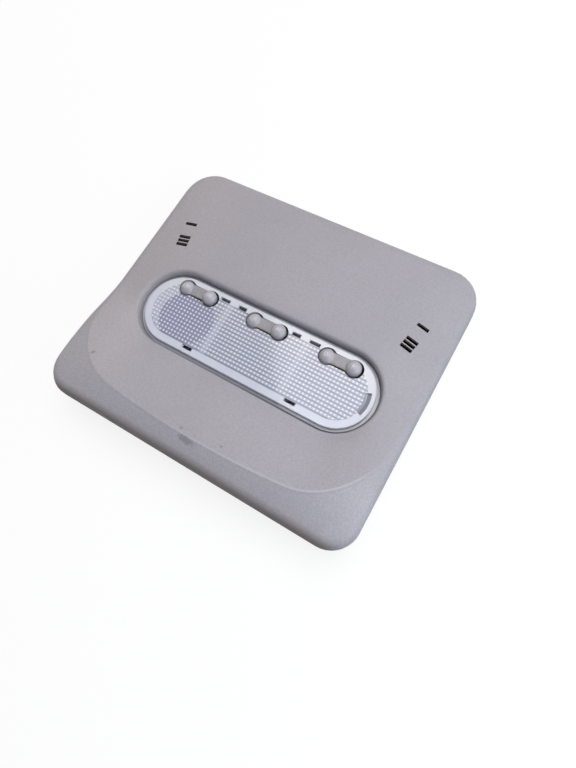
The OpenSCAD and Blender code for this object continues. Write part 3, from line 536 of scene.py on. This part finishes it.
# Lens: one moulding in slightly milky acrylic, gloss outside, with a field of square prisms, a
# smooth border and a pocket for a pry tool. Six hooks snap it into the lamp carrier.
PRISM_PITCH = 2.5 * MM
BORDER_R = 18.1 * MM
SKIRT_R = 22.7 * MM
STEP_R = 23.3 * MM
POCKET_IN = 16.4 * MM
POCKET_OUT = 20.6 * MM
POCKET_RAMP = 18.4 * MM
FACE_Z = 20 * MM
BOWL_R = 18.5 * MM
DIVIDER_X = 28 * MM
MILK = (0.83, 0.855, 0.99)
CLEAR_MILK = (0.87, 0.895, 1.0)
REAR_LIT_MILK = (0.93, 0.93, 1.0)
SKIRT_LIT_MILK = (0.86, 0.88, 0.97)
BOWL_REFLECTION_BLUE = (0.72, 0.72, 0.90)
GROOVE_SHADE_LEFT = (0.31, 0.32, 0.48)
GROOVE_SHADE_RIGHT = (0.26, 0.28, 0.45)
GROOVE_WALL_LIGHT = (0.72, 0.73, 0.92)
GLINT_WHITE = (0.96, 0.98, 1.0)
FIELD_EDGE_SHADE = (0.26, 0.28, 0.38)
POCKET_FLOOR_SHADE = (0.38, 0.40, 0.49)
POCKET_EDGE_SHADE = (0.12, 0.13, 0.17)
STEP_END_SHADE = (0.62, 0.62, 0.70)
STEP_SIDE_SHADE = (0.30, 0.30, 0.345)
acrylic, acrylic_bsdf = shade("milky_acrylic")
east, north, up = axes(acrylic, place(acrylic))
across = minus(acrylic, north, LENS_Y)
outward = unsigned(acrylic, east)
past_end = most(acrylic, minus(acrylic, outward, LENS_HALF), 0.0)
from_axis = length(acrylic, X=past_end, Y=across)
in_field = fade(acrylic, from_axis, BORDER_R + 0.1 * MM, BORDER_R - 0.1 * MM)

# Each prism is a square cell: painted shade in the grooves round it and a painted glint in its
# middle.
cell_x = unsigned(acrylic, off_centre(acrylic, east, PRISM_PITCH))
cell_x = share(acrylic, cell_x, PRISM_PITCH / 2)
cell_y = unsigned(acrylic, off_centre(acrylic, across, PRISM_PITCH))
cell_y = share(acrylic, cell_y, PRISM_PITCH / 2)
# Painted reflection: over the left bowl the prisms are painted grey blue, as the mirror bowl seen
# through the lens.
from_bowl = length(acrylic, X=calc(acrylic, "ADD", east, WEDGE_X), Y=minus(acrylic, north, WEDGE_Y))
bowl_reflection = fade(acrylic, from_bowl, BOWL_R + 0.2 * MM, BOWL_R - 0.4 * MM)
rows = fade(acrylic, cell_y, 0.50, 0.85)
columns = fade(acrylic, cell_x, 0.50, 0.85)
groove_shade = most(acrylic, times(acrylic, rows, 0.85),
              times(acrylic, columns, fade(acrylic, bowl_reflection, 0.0, 1.0, 0.35, 0.8)))
groove_shade = most(acrylic, groove_shade, times(acrylic, rows, columns))
glint = times(acrylic, in_field, fade(acrylic, most(acrylic, cell_x, cell_y), 0.40, 0.15))
milk = between(acrylic, patches(acrylic, 8 * MM), MILK, CLEAR_MILK)
# Painted light: the lens is painted whiter towards its rear.
milk = between(acrylic, fade(acrylic, across, 0.0, 17 * MM), milk, REAR_LIT_MILK)
rightward = fade(acrylic, east, -50 * MM, 60 * MM)
# Painted light: near the divider walls and at the left end of the field, the grooves are painted
# paler, as light from the walls seen through the lens.
wall_light = fade(acrylic, unsigned(acrylic, minus(acrylic, outward, DIVIDER_X)), 3.6 * MM, 0.8 * MM)
wall_light = most(acrylic, wall_light, fade(acrylic, east, -54 * MM, -62 * MM))
wall_light = times(acrylic, wall_light, minus(acrylic, 1.0, bowl_reflection))
wall_light = times(acrylic, wall_light, fade(acrylic, rightward, 0.0, 1.0, 0.75, 0.3))
# The painted shade in the grooves changes from left to right.
groove_shade_tint = between(acrylic, rightward, GROOVE_SHADE_LEFT, GROOVE_SHADE_RIGHT)
groove_shade_tint = between(acrylic, wall_light, groove_shade_tint, GROOVE_WALL_LIGHT)
prism = between(acrylic, bowl_reflection, milk, BOWL_REFLECTION_BLUE)
prism = between(acrylic, groove_shade, prism, groove_shade_tint)
prism = between(acrylic, glint, prism, GLINT_WHITE)
milk = between(acrylic, in_field, milk, prism)
# Painted shade: the pocket is painted dark grey, darkest towards its outer edge.
sunk = times(acrylic, fade(acrylic, from_axis, POCKET_IN - 0.1 * MM, POCKET_IN),
             fade(acrylic, from_axis, POCKET_OUT + 0.1 * MM, POCKET_OUT))
sunk = times(acrylic, sunk, fade(acrylic, up, FACE_Z - 0.05 * MM, FACE_Z - 0.3 * MM))
sunk = times(acrylic, sunk, fade(acrylic, east, LENS_HALF, LENS_HALF + 1 * MM))
pocket_shade = between(acrylic, fade(acrylic, from_axis, POCKET_RAMP - 0.6 * MM, POCKET_RAMP),
                 POCKET_FLOOR_SHADE, POCKET_EDGE_SHADE)
milk = between(acrylic, sunk, milk, pocket_shade)
# Painted shade: the step round the lens is painted grey, lighter at the ends and darker along the
# sides.
on_step = fade(acrylic, from_axis, STEP_R, STEP_R + 0.15 * MM)
sideward = share(acrylic, unsigned(acrylic, across), from_axis)
milk = between(acrylic, on_step, milk, between(acrylic, sideward, STEP_END_SHADE, STEP_SIDE_SHADE))
# Painted shade: a thin dark line along the front edge of the prism field.
field_edge_shade = unsigned(acrylic, minus(acrylic, from_axis, BORDER_R))
field_edge_shade = times(acrylic, fade(acrylic, field_edge_shade, 0.3 * MM, 0.1 * MM),
                   fade(acrylic, across, -8 * MM, -14 * MM, 0.0, 0.7))
milk = between(acrylic, field_edge_shade, milk, FIELD_EDGE_SHADE)
# Painted light: the upright walls of the lens are painted pale and opaque, as if lit through.
lit_wall = times(acrylic, fade(acrylic, unsigned(acrylic, upward(acrylic)), 0.5, 0.3),
             fade(acrylic, from_axis, SKIRT_R, SKIRT_R - 0.2 * MM))
milk = between(acrylic, lit_wall, milk, SKIRT_LIT_MILK)
clear = fade(acrylic, in_field, 0.0, 1.0, 0.22, 0.32)
clear = times(acrylic, clear, minus(acrylic, 1.0, glint))
clear = times(acrylic, clear, minus(acrylic, 1.0, lit_wall))
clear = times(acrylic, clear, fade(acrylic, most(acrylic, sunk, on_step), 0.0, 1.0, 1.0, 0.1))
finish(acrylic, acrylic_bsdf, Base_Color=milk, IOR=1.49, Transmission_Weight=clear,
       Roughness=patches(acrylic, 4 * MM, 0.06, 0.12))
relief(acrylic, acrylic_bsdf, lumps(acrylic, 5 * MM), 0.01 * MM)
dress(["lens"], acrylic, 25)

# Rockers: three warm grey mouldings with two domes each, satin from the tool. Each turns on a pin
# in the carrier and carries a raised 0 and a raised I. The tops of the domes are painted paler as a
# painted highlight.
AXIS_Z = 14 * MM
ROCKER_TILT = math.radians(6)
DOME_GAP = 18 * MM
DOME_R = 4.9 * MM
DOME_TOP = 3.6 * MM
CAP_H = 3.4 * MM
CAP_R = (DOME_R ** 2 + CAP_H ** 2) / (2 * CAP_H)
BAR_EDGE_Y = SHELF_Y - 2.2 * MM
MARK_HALF_X = 1.0 * MM
MARK_HALF_Y = 1.4 * MM
MARK_R = 0.24 * MM
DEEP_SATIN = (0.370, 0.354, 0.382)
PALE_SATIN = (0.408, 0.390, 0.420)
DOME_HIGHLIGHT_GREY = (0.50, 0.48, 0.53)
BAR_FRONT_SHADE = (0.20, 0.17, 0.12)
satin, satin_bsdf = shade("satin_warm_grey")
east, north, _ = axes(satin, place(satin))
from_dome = unsigned(satin, off_centre(
    satin, calc(satin, "ADD", east, SWITCH_PITCH / 2), SWITCH_PITCH))
from_dome = length(satin, X=minus(satin, from_dome, DOME_GAP / 2), Y=minus(satin, north, SHELF_Y))
# Painted shade: each bar is painted dark along its front edge, away from the domes.
bar_shade = times(satin, fade(satin, north, BAR_EDGE_Y, BAR_EDGE_Y - 1.2 * MM, 0.0, 0.7),
              fade(satin, from_dome, DOME_R - 0.4 * MM, DOME_R + 0.6 * MM))
tint = between(satin, patches(satin, 4 * MM, detail=3), DEEP_SATIN, PALE_SATIN)
tint = between(satin, bar_shade, tint, BAR_FRONT_SHADE)
# Painted highlight: the middle of each dome is painted paler.
tint = between(satin, fade(satin, from_dome, DOME_R, DOME_R - 1.5 * MM), tint, DOME_HIGHLIGHT_GREY)
finish(satin, satin_bsdf, Base_Color=tint, Roughness=patches(satin, 2 * MM, 0.20, 0.30))
relief(satin, satin_bsdf, lumps(satin, 0.35 * MM, 3), 0.008 * MM)
dress(["rocker_left", "rocker_centre", "rocker_right"], satin)

# The raised marks are painted pale, much lighter than the satin of the rocker.
pale_mark, pale_mark_bsdf = shade("pale_raised_mark")
finish(pale_mark, pale_mark_bsdf, Roughness=patches(pale_mark, 0.5 * MM, 0.2, 0.32),
       Base_Color=between(pale_mark, lumps(pale_mark, 0.6 * MM), (0.66, 0.64, 0.66), (0.84, 0.82, 0.84)))


def on_dome(x, y, rocker_at, side):
    """A point on the dome at one end of a rocker, from its place on the dome's plan."""
    rise = FACE_Z + DOME_TOP - AXIS_Z - CAP_R + math.sqrt(CAP_R ** 2 - x ** 2 - y ** 2)
    return rocker_at @ Vector((side * DOME_GAP / 2 + x, y, rise))


for name, x in (("left", -SWITCH_PITCH), ("centre", 0), ("right", SWITCH_PITCH)):
    at_rest = Matrix.Translation((x, SHELF_Y, AXIS_Z)) @ Matrix.Rotation(-ROCKER_TILT, 4, "Y")
    turns = [math.tau * k / 28 for k in range(28)]
    ring = [on_dome(MARK_HALF_X * math.cos(t), MARK_HALF_Y * math.sin(t), at_rest, -1)
            for t in turns]
    bar = [on_dome(0, MARK_HALF_Y * k / 4, at_rest, 1) for k in range(-4, 5)]
    for kind, path, closed in (("off", ring, True), ("on", bar, False)):
        piece = wire("mark_%s_%s" % (kind, name), path, MARK_R, pale_mark, closed)
        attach(piece, "rocker_" + name)

# Studio: a plain white floor that is open under the part, a dim surround that is brighter on the
# left, a large soft lamp high over the thin rear edge and a small one close by on the right.
UNDER = 4.5 * MM
CORNER = 16 * MM
SPREAD = 40
FLOOR_BOUNCE = (0.18, 0.17, 0.16)
FLOOR_SEEN = (0.15, 0.15, 0.15)
FLOOR_GLOW = 0.85
SURROUND = 0.05
SURROUND_LEFT = 0.35
SURROUND_BELOW = 0.5
PAST_FLOOR = -0.15
LAMP_WIDTH = math.radians(50)
half_x, half_y = cad_box[1][0] - UNDER, cad_box[1][1] - UNDER
outline = []
for x, y in ((1, 1), (-1, 1), (-1, -1), (1, -1)):
    cut = [(x * (half_x - CORNER), y * half_y), (x * half_x, y * (half_y - CORNER))]
    outline += cut[::-1] if x * y > 0 else cut
sheet = bmesh.new()
inner = [sheet.verts.new((x, y, 0)) for x, y in outline]
outer = [sheet.verts.new((x * SPREAD, y * SPREAD, 0)) for x, y in outline]
for k in range(len(outline)):
    after = (k + 1) % len(outline)
    sheet.faces.new((outer[k], outer[after], inner[after], inner[k]))
floor_mesh = bpy.data.meshes.new("floor")
sheet.to_mesh(floor_mesh)
sheet.free()
floor = bpy.data.objects.new("floor", floor_mesh)
bpy.context.scene.collection.objects.link(floor)
floor.location.z = cad_box[0][2]
paper, paper_bsdf = shade("white_paper")
rays = put(paper, "ShaderNodeLightPath").outputs
seen = most(paper, rays["Is Camera Ray"], most(
    paper, rays["Is Glossy Ray"], rays["Is Transmission Ray"]))
finish(paper, paper_bsdf, Base_Color=between(paper, seen, FLOOR_BOUNCE, FLOOR_SEEN), Roughness=0.9,
       Emission_Color=(1, 1, 1), Emission_Strength=times(paper, seen, FLOOR_GLOW))
floor_mesh.materials.append(paper)

world = bpy.data.worlds.new("studio")
bpy.context.scene.world = world
world.use_nodes = True
sideways, _, height = axes(world, put(world, "ShaderNodeTexCoord").outputs["Generated"])
leftward = most(world, times(world, sideways, -1.0), 0.0)
level = calc(world, "MULTIPLY_ADD", leftward, SURROUND_LEFT, SURROUND)
above = calc(world, "GREATER_THAN", height, PAST_FLOOR)
level = fade(world, above, 0.0, 1.0, SURROUND_BELOW, level)
is_seen = put(world, "ShaderNodeLightPath").outputs["Is Camera Ray"]
level = fade(world, is_seen, 0.0, 1.0, level, above)
finish(world, world.node_tree.nodes["Background"], Color=(1, 1, 1), Strength=level)


def softbox(name, azimuth, elevation, distance, power, tint):
    """A round soft lamp that looks LAMP_WIDTH wide from the object and points at it."""
    data = bpy.data.lights.new(name, "AREA")
    data.shape = "DISK"
    data.size = 2 * distance * math.tan(LAMP_WIDTH / 2)
    data.energy = power
    data.color = tint
    lamp = bpy.data.objects.new(name, data)
    bpy.context.scene.collection.objects.link(lamp)
    azimuth, elevation = math.radians(azimuth), math.radians(elevation)
    lamp.location = (distance * math.cos(azimuth) * math.cos(elevation),
                     distance * math.sin(azimuth) * math.cos(elevation),
                     distance * math.sin(elevation))
    lamp.rotation_euler = (-Vector(lamp.location)).to_track_quat("-Z", "Y").to_euler()
    lamp.visible_camera = False


softbox("key_lamp", azimuth=80, elevation=65, distance=2.5, power=51, tint=(1, 0.985, 0.985))
softbox("window_lamp", azimuth=0, elevation=25, distance=0.6, power=1.85, tint=(0.80, 0.92, 1))

# Camera: a wide lens 0.3 m up over the right end of the nose. It looks down at the right half of
# the lamp and is rolled, so that the row of rockers runs down to the right.
CAMERA_AT = (0.10892, -0.07488, 0.30108)
CAMERA_AIM = (0.03044, -0.02028, 0.020)
CAMERA_ROLL = math.radians(-26.27)
camera_data = bpy.data.cameras.new("camera")
camera_data.lens = 23.49
camera_data.sensor_width = 36
camera_data.clip_start = 0.01
camera = bpy.data.objects.new("camera", camera_data)
bpy.context.scene.collection.objects.link(camera)
camera.location = CAMERA_AT
turn = (Vector(CAMERA_AIM) - camera.location).to_track_quat("-Z", "Y").to_matrix()
camera.rotation_euler = (turn @ Matrix.Rotation(CAMERA_ROLL, 3, "Z")).to_euler()
bpy.context.scene.camera = camera
bpy.context.scene.view_settings.view_transform = "Standard"
